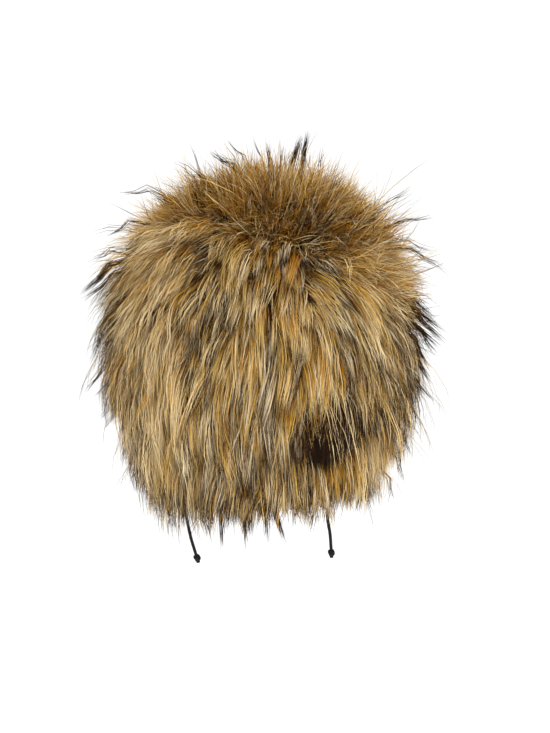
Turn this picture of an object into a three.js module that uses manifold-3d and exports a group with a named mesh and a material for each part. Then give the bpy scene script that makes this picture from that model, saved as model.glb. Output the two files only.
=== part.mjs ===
// A faux fur trapper hat with its flaps down, in millimetres. +Z is up and +Y is the wearer's front.
// The origin is the middle of the crown's inside, where the top of the head touches it.
import * as THREE from "three";
import { ParametricGeometry } from "three/addons/geometries/ParametricGeometry.js";
import Module from "manifold-3d";

const wasm = await Module();
wasm.setup();

// The head that the hat is cut for, measured inside the cloth. A drop is the way down from the crown's inside.
const HEAD_WIDTH = 160;
const HEAD_DEPTH = 200;
const CROWN_RISE = 85; // from the widest level up to the crown's inside
const BROW_DROP = 100; // to the seam that joins the crown to the flaps and the visor
const NAPE_DROP = 174; // to the hem over the neck
const EAR_DROP = 184; // to the hem below each ear
const CROWN_FULLNESS = 2.2; // 2 is an ellipse, and more is fuller at the shoulder
const EAR_TUCK = 16; // how far each ear flap leans in at its hem
const NAPE_TUCK = 10; // how far the neck flap leans in at its hem
const CORNER_ROUND = 14; // how far the hem lifts at each ear flap's front corner

// The cloth and its seams
const CLOTH = 2.5;
const SEAM_GAP = 0.4; // between two walls that a seam joins
const PILE_GAP = 0.3; // between a cloth wall and the pile on it, and between two piles

// The face opening between the ear flaps
const FACE_WIDTH_TOP = 128;
const FACE_WIDTH_HEM = 120;

// The visor, sewn to the crown's front edge and turned up against it
const VISOR_WIDTH = 122;
const VISOR_HEIGHT = 62;
const VISOR_STAND = 13; // between the crown's inside and the visor's back
const VISOR_CORNER = 24;

// The fur: a dense underfur on the cloth, and locks of long hair rooted in it
const UNDERFUR = 22;
const VISOR_UNDERFUR = 14;
const LOCK_WIDTH = 42;
const LOCK_THICKNESS = 16;
const VISOR_LOCK_WIDTH = 30;
const FUR_MARGIN = 18; // how far the visor's fur spreads past its cloth
const CROWN_FUR_DEPTH = 46; // from the cloth to the tips of the crown's longest locks
const FLAP_FUR_DEPTH = 42;
const VISOR_FUR_DEPTH = 42;
const LOCK_REACH = 54; // how far down the slope a lock's tip lies from its root
const WHORL_SIDE = 15; // the whorl that the crown's hair leaves, from the crown's middle
const WHORL_BACK = 38;

// The ties: a cord at each ear flap's hem, with an overhand knot at its end
const CORD_WIDTH = 2.5;
const CORD_SIDES = 8;
const CORD_STEPS = 14;
const KNOT_GAP = 0.3;
const KNOT_WIDTH = 5.8;
const KNOT_TAIL = 1;
const TIE_TURN = 92; // degrees round from the front to each tie

// Each tie's route below the hem: sideways and forwards from its start, and the share of its drop
const LEFT_TIE_DROP = 83.4;
const RIGHT_TIE_DROP = 79;
const leftTieRoute = [
  { side: 0, front: 0, down: 0 },
  { side: 0.4, front: 1, down: 0.15 },
  { side: 2.2, front: 4, down: 0.4 },
  { side: 4.8, front: 7, down: 0.6 },
  { side: 8.1, front: 9, down: 0.82 },
  { side: 12.1, front: 11, down: 1 },
];
const rightTieRoute = [
  { side: 0, front: 0, down: 0 },
  { side: -4, front: 1, down: 0.15 },
  { side: -12, front: 4, down: 0.4 },
  { side: -16.2, front: 7, down: 0.6 },
  { side: -13.9, front: 10, down: 0.85 },
  { side: -13.1, front: 11, down: 1 },
];

// The crown's locks from the top down. level is 1 at the top and 0 where the head is widest, depth and reach
// are shares of the fur's depth and of a lock's reach.
const crownLocks = [
  { level: 0.93, count: 4, depth: 0.92, reach: 0.5 },
  { level: 0.76, count: 8, depth: 0.96, reach: 0.75 },
  { level: 0.55, count: 12, depth: 0.95, reach: 0.85 },
  { level: 0.34, count: 15, depth: 0.95, reach: 0.95 },
  { level: 0.13, count: 16, depth: 0.97, reach: 1 },
  { level: -0.08, count: 17, depth: 0.95, reach: 1.05 },
];

// The flaps' locks. down is the share of the way from the seam to the hem.
const flapLocks = [
  { down: 0.45, count: 17, depth: 0.85, reach: 0.85 },
  { down: 0.9, count: 19, depth: 0.8, reach: 0.68 },
];

// The visor's locks. up is the share of the way from its fold to its top edge, and reach is upwards.
const visorLocks = [
  { up: 0.12, count: 6, depth: 0.8, reach: 0.55 },
  { up: 0.5, count: 7, depth: 0.9, reach: 0.65 },
  { up: 0.86, count: 6, depth: 0.8, reach: 0.8 },
];

// Where the crown's fur lies over the flaps' fur. down is the share of the way from the seam to the hem,
// and out is the share of the flap fur's depth.
const parting = [
  { down: 0, out: 0.03 },
  { down: 0.1, out: 0.3 },
  { down: 0.32, out: 0.52 },
  { down: 0.62, out: 0.72 },
  { down: 0.85, out: 0.95 },
  { down: 1.05, out: 1.5 },
  { down: 1.8, out: 1.8 },
];

const AROUND = 28; // facets round the head
const DEGREES = Math.PI / 180;
const CUT_REACH = 400; // long enough to cut right through the hat

// A closed three.js geometry as a solid, turned the right way round if its faces point in.
function solid(geometry) {
  const position = geometry.getAttribute("position");
  const index = geometry.index ? [...geometry.index.array] : [...Array(position.count).keys()];
  const places = new Map();
  const vertices = [];
  const merged = index.map((i) => {
    const place = [position.getX(i), position.getY(i), position.getZ(i)];
    const key = place.map((x) => Math.round(x * 1e3)).join();
    if (!places.has(key)) {
      places.set(key, vertices.length / 3);
      vertices.push(...place);
    }
    return places.get(key);
  });
  const triangles = [];
  for (let i = 0; i < merged.length; i += 3) {
    const [a, b, c] = merged.slice(i, i + 3);
    if (a !== b && b !== c && c !== a) triangles.push(a, b, c);
  }
  const vertProperties = new Float32Array(vertices);
  const build = (list) =>
    new wasm.Manifold(new wasm.Mesh({ numProp: 3, vertProperties, triVerts: new Uint32Array(list) }));
  const made = build(triangles);
  return made.volume() > 0 ? made : build(triangles.reverse());
}

const joined = (solids) => wasm.Manifold.union(solids);

// The largest piece of a cut solid: snippets of fur that a cut leaves loose are swept away.
function trimmed(cut) {
  const pieces = cut.decompose();
  return pieces.reduce((best, piece) => (piece.volume() > best.volume() ? piece : best));
}

// A named mesh of a solid.
function node(name, made, material) {
  const { vertProperties, numProp, triVerts } = made.getMesh();
  const position = new Float32Array((vertProperties.length / numProp) * 3);
  for (let i = 0; i < position.length / 3; i++)
    position.set(vertProperties.subarray(i * numProp, i * numProp + 3), i * 3);
  const geometry = new THREE.BufferGeometry();
  geometry.setAttribute("position", new THREE.BufferAttribute(position, 3));
  geometry.setIndex(new THREE.BufferAttribute(triVerts, 1));
  geometry.computeVertexNormals();
  const mesh = new THREE.Mesh(geometry, material);
  mesh.name = name;
  return mesh;
}

const mix = THREE.MathUtils.lerp;
const ease = THREE.MathUtils.smoothstep;

// A steady pseudo-random number from -1 to 1, the same for the same two counts.
function scatter(a, b) {
  const wave = Math.sin(a * 12.9898 + b * 78.233) * 43758.5453;
  return 2 * (wave - Math.floor(wave)) - 1;
}

// A drop below the crown's inside as a level: 1 at the top, 0 at the widest, -1 at the ear flaps' hem.
function levelOf(drop) {
  const above = CROWN_RISE - drop;
  if (above >= 0) return Math.asin((above / CROWN_RISE) ** (CROWN_FULLNESS / 2)) / (Math.PI / 2);
  return above / (EAR_DROP - CROWN_RISE);
}

// The point on the head's form at a turn from the front, in radians, a level, and a distance out from it.
// Above the widest level it is a dome of superelliptic section, and below it the sides lean in as a parabola.
function headPoint(turn, level, out, target = new THREE.Vector3()) {
  const rise = Math.max(level, 0) * (Math.PI / 2);
  const fall = Math.max(-level, 0);
  const round = Math.max(Math.cos(rise), 0) ** (2 / CROWN_FULLNESS);
  const height = Math.sin(rise) ** (2 / CROWN_FULLNESS);
  const side = (HEAD_WIDTH / 2 + out) * round - EAR_TUCK * fall ** 2;
  const front = (HEAD_DEPTH / 2 + out) * round - NAPE_TUCK * fall ** 2;
  const up = (CROWN_RISE + out) * height - fall * (EAR_DROP - CROWN_RISE) - CROWN_RISE;
  return target.set(side * Math.sin(turn), front * Math.cos(turn), up);
}

// The outward normal and the way down the slope at a point of the head's form.
function headSlope(turn, level) {
  const step = 1e-3;
  const round = headPoint(turn + step, level, 0).sub(headPoint(turn - step, level, 0));
  const down = headPoint(turn, level - step, 0).sub(headPoint(turn, level + step, 0)).normalize();
  const normal = new THREE.Vector3().crossVectors(down, round).normalize();
  if (normal.dot(headPoint(turn, level, 0).setZ(normal.z > 0 ? CROWN_RISE : 0)) < 0) normal.negate();
  return { normal, down };
}

const SEAM_LEVEL = levelOf(BROW_DROP);
const FLAP_TOP_LEVEL = levelOf(BROW_DROP + SEAM_GAP);

// The flaps' hem: low at the ears, higher over the neck, and rounded up at each front corner.
function hemDrop(turn) {
  const fromBack = Math.abs(THREE.MathUtils.euclideanModulo(turn / DEGREES, 360) - 180);
  const ear = ease(fromBack, 30, 80);
  const corner = ease(fromBack, 96, 118);
  return mix(NAPE_DROP, EAR_DROP, ear) - CORNER_ROUND * corner;
}

const crownLevel = (turn, down) => mix(1, SEAM_LEVEL, down);
const flapLevel = (turn, down) => mix(FLAP_TOP_LEVEL, levelOf(hemDrop(turn)), down);

// A closed skin round the head, one ring for each row. It closes on itself, or at the crown's middle.
function skin(rows, levelAt, around = AROUND) {
  const last = rows.length - 1;
  const place = (u, v, target) => {
    const { down, out } = rows[Math.round(v * last)];
    headPoint(u * 2 * Math.PI, levelAt(u * 2 * Math.PI, down), out, target);
  };
  return solid(new ParametricGeometry(place, around, last));
}

// Rows from one share of the way down to another.
function rowsDown(from, to, out, count) {
  return Array.from({ length: count + 1 }, (_, i) => ({ down: mix(from, to, i / count), out }));
}

// A flat outline in the X-Z plane, cut forwards from the hat's middle.
function forwardCut(points) {
  const outline = new THREE.Shape(points.map(([x, z]) => new THREE.Vector2(x, z)));
  const block = new THREE.ExtrudeGeometry(outline, { depth: CUT_REACH, bevelEnabled: false });
  return solid(block.rotateX(Math.PI / 2).scale(1, -1, 1));
}

// The face opening, flaring from the seam to the hem and on past it.
function faceOpening() {
  const top = FACE_WIDTH_TOP / 2;
  const hem = FACE_WIDTH_HEM / 2;
  const below = -EAR_DROP - FLAP_FUR_DEPTH - LOCK_REACH;
  return forwardCut([
    [-top, -BROW_DROP + CLOTH],
    [-hem, -EAR_DROP],
    [-hem, below],
    [hem, below],
    [hem, -EAR_DROP],
    [top, -BROW_DROP + CLOTH],
  ]);
}

// The visor's outline from the front, with round top corners, spread by a margin all round.
function visorOutline(margin, hang) {
  const half = VISOR_WIDTH / 2 + margin;
  const corner = VISOR_CORNER + margin;
  const top = -BROW_DROP + VISOR_HEIGHT + margin;
  const points = [
    [-half, -BROW_DROP - hang],
    [half, -BROW_DROP - hang],
  ];
  for (let i = 0; i <= 4; i++) {
    const angle = (i / 4) * (Math.PI / 2);
    points.push([half - corner + corner * Math.cos(angle), top - corner + corner * Math.sin(angle)]);
  }
  for (let i = 4; i >= 0; i--) {
    const angle = (i / 4) * (Math.PI / 2);
    points.push([-half + corner - corner * Math.cos(angle), top - corner + corner * Math.sin(angle)]);
  }
  return forwardCut(points);
}

// The visor's own upright form: the section at the seam, carried straight up and down.
function uprightPoint(turn, height, out, target = new THREE.Vector3()) {
  headPoint(turn, SEAM_LEVEL, out, target);
  return target.setZ(-BROW_DROP + height);
}

// A closed band round the upright form, from rows of height and distance out.
function uprightBand(rows) {
  const last = rows.length - 1;
  const place = (u, v, target) => {
    const { height, out } = rows[Math.round(v * last)];
    uprightPoint(u * 2 * Math.PI, height, out, target);
  };
  return solid(new ParametricGeometry(place, AROUND, last));
}

// A rectangle of the upright band: its lowest and highest height, its inner and outer distance.
function bandRows(low, high, inner, outer) {
  return [
    { height: low, out: inner },
    { height: low, out: outer },
    { height: high, out: outer },
    { height: high, out: inner },
    { height: low, out: inner },
  ];
}

// One lock of fur: a four-sided blade on a curve that leaves the skin along normal and bends over along flow.
function lock(base, { normal, flow }, { rootOut, tipOut, reach, width, thickness, sway }) {
  const side = new THREE.Vector3().crossVectors(flow, normal).normalize();
  const rings = [
    { along: 0, wide: 0 },
    { along: 0, wide: 0.85 },
    { along: 0.4, wide: 1 },
    { along: 0.75, wide: 0.6 },
    { along: 1, wide: 0 },
  ];
  const spine = (t) =>
    base
      .clone()
      .addScaledVector(normal, mix(rootOut, tipOut, 1 - (1 - t) ** 2))
      .addScaledVector(flow, reach * t ** 1.5)
      .addScaledVector(side, sway * t ** 2);
  const place = (u, v, target) => {
    const { along, wide } = rings[Math.round(v * (rings.length - 1))];
    const ahead = spine(Math.min(along + 0.05, 1)).sub(spine(Math.max(along - 0.05, 0))).normalize();
    const across = new THREE.Vector3().crossVectors(side, ahead).normalize();
    target
      .copy(spine(along))
      .addScaledVector(side, 0.5 * width * wide * Math.cos(u * 2 * Math.PI))
      .addScaledVector(across, 0.5 * thickness * wide * Math.sin(u * 2 * Math.PI));
  };
  return solid(new ParametricGeometry(place, 4, rings.length - 1));
}

// Which way the hair lies: away from the whorl, along the surface.
function hairFlow(base, normal, down) {
  const whorl = new THREE.Vector3(WHORL_SIDE, -WHORL_BACK, 0);
  const away = base.clone().sub(whorl);
  away.addScaledVector(normal, -away.dot(normal)).normalize();
  return away.add(down).normalize();
}

// Rings of locks round the head, each lock a little out of line with its neighbours.
function ringsOfLocks(table, levelAt, furDepth, skips = () => false) {
  return table.flatMap((row, tier) =>
    Array.from({ length: row.count }, (_, i) => {
      const shift = 0.5 * (tier % 2) + 0.22 * scatter(tier, i);
      const turn = ((i + shift) / row.count) * 2 * Math.PI;
      const level = levelAt(turn, row);
      const base = headPoint(turn, level, CLOTH);
      if (skips(base)) return null;
      const { normal, down } = headSlope(turn, level);
      return lock(base, { normal, flow: hairFlow(base, normal, down) }, {
        rootOut: 0.3 * UNDERFUR,
        tipOut: furDepth * row.depth * (1 + 0.12 * scatter(i, tier + 3)),
        reach: LOCK_REACH * row.reach * (1 + 0.15 * scatter(i + 5, tier)),
        width: LOCK_WIDTH,
        thickness: LOCK_THICKNESS,
        sway: 0.2 * LOCK_WIDTH * scatter(tier + 7, i),
      });
    }),
  ).filter(Boolean);
}

// The region under the parting line, which holds the flaps and their fur. less draws it in all round.
function underParting(less) {
  const outer = parting.map(({ down, out }) => ({ down, out: CLOTH + out * FLAP_FUR_DEPTH - less }));
  outer[0].down = less / (NAPE_DROP - BROW_DROP);
  const top = { down: outer[0].down, out: -CUT_REACH / 40 };
  const foot = { down: parting.at(-1).down, out: -CUT_REACH / 40 };
  return skin([top, ...outer, foot, top], flapLevel);
}

// The room that the visor and its fur take in front of the crown.
function visorRoom(less) {
  const hang = SEAM_GAP + CLOTH + 8 - less;
  const inner = VISOR_STAND - PILE_GAP + less;
  const ahead = uprightBand(bandRows(-hang, CROWN_RISE, inner, CUT_REACH / 4));
  const below = uprightBand(bandRows(-hang, 0, -CLOTH, inner + CLOTH));
  return ahead.add(below).intersect(visorOutline(FUR_MARGIN - less, hang));
}

// The crown's cloth: one dome wall down to the seam.
function crownWall() {
  return skin([...rowsDown(0, 1, 0, 7), ...rowsDown(1, 0, CLOTH, 7)], crownLevel);
}

function crownFur() {
  const down = (out) => [...rowsDown(0, 1, out, 7), { down: 1.12, out }];
  const inner = down(CLOTH + PILE_GAP);
  const underfur = skin([...inner, ...down(CLOTH + UNDERFUR).reverse()], crownLevel);
  const cloth = skin([...down(-CLOTH), ...inner.reverse()], crownLevel);
  const locks = ringsOfLocks(crownLocks, (turn, { level }) => level, CROWN_FUR_DEPTH);
  const cuts = [cloth, underParting(0), visorRoom(0), faceOpening()];
  return trimmed(joined([underfur, ...locks]).subtract(joined(cuts)));
}

// The flaps' cloth: ear flaps and neck flap in one piece, open at the face.
function flapWall() {
  const loop = [...rowsDown(0, 1, 0, 4), ...rowsDown(1, 0, CLOTH, 4), { down: 0, out: 0 }];
  return skin(loop, flapLevel).subtract(faceOpening());
}

function flapFur() {
  const inner = rowsDown(0, 0.99, CLOTH + PILE_GAP, 4);
  const outer = rowsDown(0.99, 0, CLOTH + UNDERFUR, 4);
  const underfur = skin([...inner, ...outer, inner[0]], flapLevel).subtract(faceOpening());
  const inFace = (base) => base.y > 0 && Math.abs(base.x) < FACE_WIDTH_HEM / 2 + CLOTH;
  const locks = ringsOfLocks(flapLocks, (turn, { down }) => flapLevel(turn, down), FLAP_FUR_DEPTH, inFace);
  const made = joined([underfur, ...locks]).intersect(underParting(PILE_GAP)).subtract(visorRoom(0));
  const cloth = [...rowsDown(-0.25, 1.75, -FLAP_FUR_DEPTH, 8), ...rowsDown(1.75, -0.25, CLOTH + PILE_GAP, 8)];
  return trimmed(made.subtract(skin([...cloth, cloth[0]], flapLevel)));
}

// The visor's cloth: it leaves the seam under the crown's edge, folds, and stands up in front.
function visorWall() {
  const fold = -SEAM_GAP - CLOTH;
  const outer = VISOR_STAND + CLOTH;
  const band = uprightBand([
    { height: fold, out: 0 },
    { height: fold, out: outer },
    { height: VISOR_HEIGHT, out: outer },
    { height: VISOR_HEIGHT, out: VISOR_STAND },
    { height: -SEAM_GAP, out: VISOR_STAND },
    { height: -SEAM_GAP, out: 0 },
    { height: fold, out: 0 },
  ]);
  return trimmed(band.intersect(visorOutline(0, SEAM_GAP + CLOTH + 1)));
}

function visorFur() {
  const inner = VISOR_STAND + CLOTH + PILE_GAP;
  const fold = -SEAM_GAP - CLOTH;
  const band = uprightBand(bandRows(fold, VISOR_HEIGHT, inner, inner + VISOR_UNDERFUR));
  const underfur = trimmed(band.intersect(visorOutline(0, CLOTH + SEAM_GAP)));
  const locks = visorLocks.flatMap((row, tier) =>
    Array.from({ length: row.count }, (_, i) => {
      const share = (i + 0.5) / row.count - 0.5;
      const turn = Math.asin((share * (VISOR_WIDTH + 8)) / (HEAD_WIDTH / 2 + inner));
      const base = uprightPoint(turn, row.up * VISOR_HEIGHT, inner);
      const normal = new THREE.Vector3(base.x / HEAD_WIDTH ** 2, base.y / HEAD_DEPTH ** 2, 0).normalize();
      const flow = new THREE.Vector3(1.5 * Math.sin(turn) + 0.2 * scatter(i, tier), 0, 1).normalize();
      return lock(base, { normal, flow }, {
        rootOut: 0.3 * VISOR_UNDERFUR,
        tipOut: VISOR_FUR_DEPTH * row.depth * (1 + 0.1 * scatter(i, tier + 11)),
        reach: LOCK_REACH * row.reach,
        width: VISOR_LOCK_WIDTH,
        thickness: LOCK_THICKNESS,
        sway: 0.15 * VISOR_LOCK_WIDTH * scatter(tier, i + 2),
      });
    }),
  );
  const clear = uprightBand(bandRows(fold - FUR_MARGIN, VISOR_HEIGHT + LOCK_REACH, -CUT_REACH / 40, inner));
  return trimmed(joined([underfur, ...locks]).subtract(clear).intersect(visorRoom(PILE_GAP)));
}

// A tie: a cord from the hem's underside along its route, and the knot on its end.
function tieRoute(side, drop, route) {
  const turn = side * TIE_TURN * DEGREES;
  const start = headPoint(turn, levelOf(hemDrop(turn)), CLOTH / 2);
  start.z -= PILE_GAP;
  return route.map(({ side: x, front: y, down }) =>
    new THREE.Vector3(start.x + x, start.y + y, start.z - drop * down));
}

function cord(route) {
  const section = new THREE.Shape(Array.from({ length: CORD_SIDES }, (_, i) => {
    const angle = (i / CORD_SIDES) * 2 * Math.PI;
    return new THREE.Vector2(Math.cos(angle), Math.sin(angle)).multiplyScalar(CORD_WIDTH / 2);
  }));
  const path = new THREE.CatmullRomCurve3(route);
  return solid(new THREE.ExtrudeGeometry(section, { steps: CORD_STEPS, extrudePath: path }));
}

// The knot: two crossed turns of the cord round a stub that ends in a short tail.
function knot(route) {
  const [before, end] = route.slice(-2);
  const along = end.clone().sub(before).normalize();
  const turn = new THREE.Quaternion().setFromUnitVectors(new THREE.Vector3(0, 0, -1), along);
  const ring = (KNOT_WIDTH - CORD_WIDTH) / 2;
  const stubLength = KNOT_WIDTH + KNOT_TAIL;
  const stub = new THREE.CylinderGeometry(CORD_WIDTH / 2, CORD_WIDTH * 0.6, stubLength, CORD_SIDES);
  const parts = [stub.rotateX(Math.PI / 2).translate(0, 0, -stubLength / 2)];
  for (const lean of [-1, 1]) {
    const loop = new THREE.TorusGeometry(ring, CORD_WIDTH / 2, 6, 9);
    parts.push(loop.rotateX(lean * 0.35).rotateY(0.3).translate(0, 0, -KNOT_WIDTH / 2));
  }
  const made = joined(parts.map((part) => solid(part)));
  const shape = node("", made).geometry.applyQuaternion(turn);
  return solid(shape.translate(...end.clone().addScaledVector(along, KNOT_GAP).toArray()));
}

const backing = new THREE.MeshStandardMaterial({ color: 0x4a3a28, roughness: 0.95, metalness: 0 });
const fur = new THREE.MeshStandardMaterial({ color: 0xb08a55, roughness: 0.9, metalness: 0 });
const blackCord = new THREE.MeshStandardMaterial({ color: 0x1c1c1d, roughness: 0.7, metalness: 0 });

const hat = new THREE.Group();
hat.add(
  node("crown_wall", crownWall(), backing),
  node("crown_fur", crownFur(), fur),
  node("flap_wall", flapWall(), backing),
  node("flap_fur", flapFur(), fur),
  node("visor_wall", visorWall(), backing),
  node("visor_fur", visorFur(), fur),
);
const ties = [
  { name: "left_tie", side: -1, drop: LEFT_TIE_DROP, points: leftTieRoute },
  { name: "right_tie", side: 1, drop: RIGHT_TIE_DROP, points: rightTieRoute },
];
for (const { name, side, drop, points } of ties) {
  const route = tieRoute(side, drop, points);
  hat.add(node(name, cord(route), blackCord), node(name + "_knot", knot(route), blackCord));
}

export default hat;
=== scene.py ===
import math

import bmesh
import bpy
import numpy as np
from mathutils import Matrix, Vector


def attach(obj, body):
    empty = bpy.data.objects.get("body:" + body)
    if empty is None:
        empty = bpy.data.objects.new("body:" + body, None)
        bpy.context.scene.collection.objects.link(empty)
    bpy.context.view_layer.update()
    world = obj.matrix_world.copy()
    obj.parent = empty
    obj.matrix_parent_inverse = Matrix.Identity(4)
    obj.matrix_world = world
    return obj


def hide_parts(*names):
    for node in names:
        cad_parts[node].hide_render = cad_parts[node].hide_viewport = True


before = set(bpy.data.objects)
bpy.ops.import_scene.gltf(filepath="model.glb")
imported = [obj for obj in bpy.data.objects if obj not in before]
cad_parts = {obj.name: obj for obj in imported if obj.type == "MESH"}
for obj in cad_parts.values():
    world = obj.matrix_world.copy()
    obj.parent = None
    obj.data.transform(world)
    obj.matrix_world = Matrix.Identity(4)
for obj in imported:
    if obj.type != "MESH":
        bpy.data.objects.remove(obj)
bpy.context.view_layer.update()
rng = np.random.default_rng(11)

# Camera: a long lens behind the hat, 15 degrees above the level, at the photo's angle.
# The photo is 550 by 733 pixels at 0.764 mm to a pixel, and the hat's widest level lies at pixel (264, 330).
PHOTO_WIDE, PHOTO_HIGH = 550, 733
PIXEL = 0.000764
WIDEST_PX, WIDEST_PY = 264, 330
WIDEST_Z = -0.085
LOOK_DOWN = math.radians(15)
CAMERA_AWAY = 2.4
SENSOR = 36
view_x = (PHOTO_WIDE / 2 - WIDEST_PX) * PIXEL
view_z = WIDEST_Z - (PHOTO_HIGH / 2 - WIDEST_PY) * PIXEL / math.cos(LOOK_DOWN)
camera = bpy.data.objects.new("camera", bpy.data.cameras.new("camera"))
camera.data.sensor_width = SENSOR
camera.data.lens = SENSOR / 2 / (PHOTO_HIGH * PIXEL / 2 / CAMERA_AWAY)
camera.location = (view_x, -CAMERA_AWAY * math.cos(LOOK_DOWN), view_z + CAMERA_AWAY * math.sin(LOOK_DOWN))
camera.rotation_euler = (math.pi / 2 - LOOK_DOWN, 0, 0)
bpy.context.scene.collection.objects.link(camera)
bpy.context.scene.camera = camera

# Studio: a white room with one large soft light above the camera's left, a weaker one on its right,
# and a plain pale floor well below the ties.
world = bpy.data.worlds.new("white room")
world.use_nodes = True
world.node_tree.nodes["Background"].inputs["Color"].default_value = (1, 1, 1, 1)
world.node_tree.nodes["Background"].inputs["Strength"].default_value = 1.1
bpy.context.scene.world = world
bpy.context.scene.view_settings.view_transform = "Standard"
for name, place, size, power in (
    ("key light", (-0.5, -2.0, 1.6), 1.4, 34),
    ("fill light", (1.7, -1.5, 0.6), 1.4, 18),
):
    lamp = bpy.data.objects.new(name, bpy.data.lights.new(name, "AREA"))
    lamp.data.size = size
    lamp.data.energy = power
    lamp.location = place
    lamp.rotation_euler = (Vector((0, 0, WIDEST_Z)) - Vector(place)).to_track_quat("-Z", "Y").to_euler()
    bpy.context.scene.collection.objects.link(lamp)


def add_mesh(name, vertices, faces, material):
    """Puts arrays of points and of faces with equally many corners into a new object at the origin."""
    mesh = bpy.data.meshes.new(name)
    faces = np.asarray(faces, dtype=np.int32)
    corners = faces.shape[1]
    mesh.vertices.add(len(vertices))
    mesh.vertices.foreach_set("co", np.asarray(vertices, dtype=np.float32).ravel())
    mesh.loops.add(faces.size)
    mesh.loops.foreach_set("vertex_index", faces.ravel())
    mesh.polygons.add(len(faces))
    mesh.polygons.foreach_set("loop_start", np.arange(len(faces), dtype=np.int32) * corners)
    mesh.update(calc_edges=True)
    mesh.polygons.foreach_set("use_smooth", np.ones(len(faces), bool))
    mesh.materials.append(material)
    made = bpy.data.objects.new(name, mesh)
    bpy.context.scene.collection.objects.link(made)
    return made


def new_material(name, roughness, sheen=0.0):
    """A Principled material, its shader and its node and link makers."""
    material = bpy.data.materials.new(name)
    material.use_nodes = True
    tree = material.node_tree
    shader = tree.nodes["Principled BSDF"]
    shader.inputs["Roughness"].default_value = roughness
    shader.inputs["Sheen Weight"].default_value = sheen
    return material, shader, tree.nodes, tree.links


white = new_material("pale floor", 0.9)[0]
white.node_tree.nodes["Principled BSDF"].inputs["Base Color"].default_value = (0.93, 0.93, 0.93, 1)
FLOOR_HALF, FLOOR_Z = 40, -0.75
corners = FLOOR_HALF * np.array([[-1, -1], [1, -1], [1, 1], [-1, 1]])
floor = add_mesh("floor", np.column_stack([corners, np.full(4, FLOOR_Z)]), [[0, 1, 2, 3]], white)


# Backing cloth: the walls of the crown, the flaps and the visor are the brown knitted ground of the pile.
# Only their insides and edges show, from below and through the face opening.
cloth, shader, nodes, links = new_material("knitted backing", 0.95, 0.1)
shader.inputs["Specular IOR Level"].default_value = 0.2
place = nodes.new("ShaderNodeTexCoord")
courses = nodes.new("ShaderNodeTexWave")
courses.bands_direction = "Z"
courses.inputs["Scale"].default_value = 160
courses.inputs["Distortion"].default_value = 1.5
courses.inputs["Detail Scale"].default_value = 60
loops = nodes.new("ShaderNodeTexVoronoi")
loops.inputs["Scale"].default_value = 700
colours = nodes.new("ShaderNodeValToRGB")
colours.color_ramp.elements[0].color = (0.06, 0.035, 0.016, 1)
colours.color_ramp.elements[1].color = (0.21, 0.13, 0.06, 1)
both = nodes.new("ShaderNodeMath")
both.operation = "MULTIPLY"
bump = nodes.new("ShaderNodeBump")
bump.inputs["Strength"].default_value = 0.6
bump.inputs["Distance"].default_value = 0.0006
links.new(place.outputs["Object"], courses.inputs["Vector"])
links.new(place.outputs["Object"], loops.inputs["Vector"])
links.new(courses.outputs["Fac"], both.inputs[0])
links.new(loops.outputs["Distance"], both.inputs[1])
links.new(both.outputs[0], colours.inputs["Fac"])
links.new(both.outputs[0], bump.inputs["Height"])
links.new(colours.outputs["Color"], shader.inputs["Base Color"])
links.new(bump.outputs["Normal"], shader.inputs["Normal"])
for name in ("crown_wall", "flap_wall", "visor_wall"):
    solid = bmesh.new()
    solid.from_mesh(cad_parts[name].data)
    bmesh.ops.remove_doubles(solid, verts=solid.verts, dist=1e-5)
    sheet = bpy.data.meshes.new(name.replace("wall", "cloth"))
    solid.to_mesh(sheet)
    solid.free()
    sheet.polygons.foreach_set("use_smooth", np.ones(len(sheet.polygons), bool))
    sheet.set_sharp_from_angle(angle=math.radians(40))
    sheet.materials.clear()
    sheet.materials.append(cloth)
    made = bpy.data.objects.new(sheet.name, sheet)
    bpy.context.scene.collection.objects.link(made)
    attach(made, "root")
    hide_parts(name)


# Pile: long acrylic hair knitted into the backing. Each hair is a tapering ribbon that leaves the cloth,
# bends over along the way the hair lies, and gathers with its neighbours into wisps and the wisps into locks.
# Dense golden underfur stands below, and longer guard hair with dark tips runs over it in streaks.
CLOTH = 0.0025
# Inside the cloth: half the width and depth of the head, the dome's rise, and how full its section is.
HALF_WIDTH, HALF_DEPTH, RISE, FULLNESS = 0.080, 0.100, 0.085, 2.2
# The drops of the crown's seam, the neck's hem and the ears' hems below the very top.
BROW, NAPE, EAR = 0.100, 0.174, 0.184
# How far the sides and the back lean in by the ears' hems, and how far the front corners are rounded up.
EAR_TUCK, NAPE_TUCK, CORNER_ROUND = 0.016, 0.010, 0.014


def head_point(turn, level, out):
    """The cloth's form: a dome of superelliptic section above level 0, and below it sides that lean in as a
    parabola. The turn is counted from the front."""
    rise, fall = np.clip(level, 0, 1) * math.pi / 2, np.clip(-level, 0, None)
    ring = np.clip(np.cos(rise), 0, 1) ** (2 / FULLNESS)
    up = (RISE + out) * np.sin(rise) ** (2 / FULLNESS) - fall * (EAR - RISE) - RISE
    x = ((HALF_WIDTH + out) * ring - EAR_TUCK * fall**2) * np.sin(turn)
    y = ((HALF_DEPTH + out) * ring - NAPE_TUCK * fall**2) * np.cos(turn)
    return np.stack([x, y, up + 0 * turn], axis=-1)


def level_of(drop):
    """The level at a drop below the crown's inside: head_point's height solved for its level."""
    above = RISE - drop
    dome = np.arcsin((np.clip(above, 0, RISE) / RISE) ** (FULLNESS / 2)) / (math.pi / 2)
    return np.where(above >= 0, dome, above / (EAR - RISE))


def unit(vectors):
    """Vectors of length one."""
    return vectors / np.maximum(np.linalg.norm(vectors, axis=-1, keepdims=True), 1e-9)


def head_slope(turn, level, step=1e-3):
    """The outward normal and the way down, from differences of head_point."""
    across = head_point(turn + step, level, 0) - head_point(turn - step, level, 0)
    down = unit(head_point(turn, level - step, 0) - head_point(turn, level + step, 0))
    return unit(np.cross(across, down)), down


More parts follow.
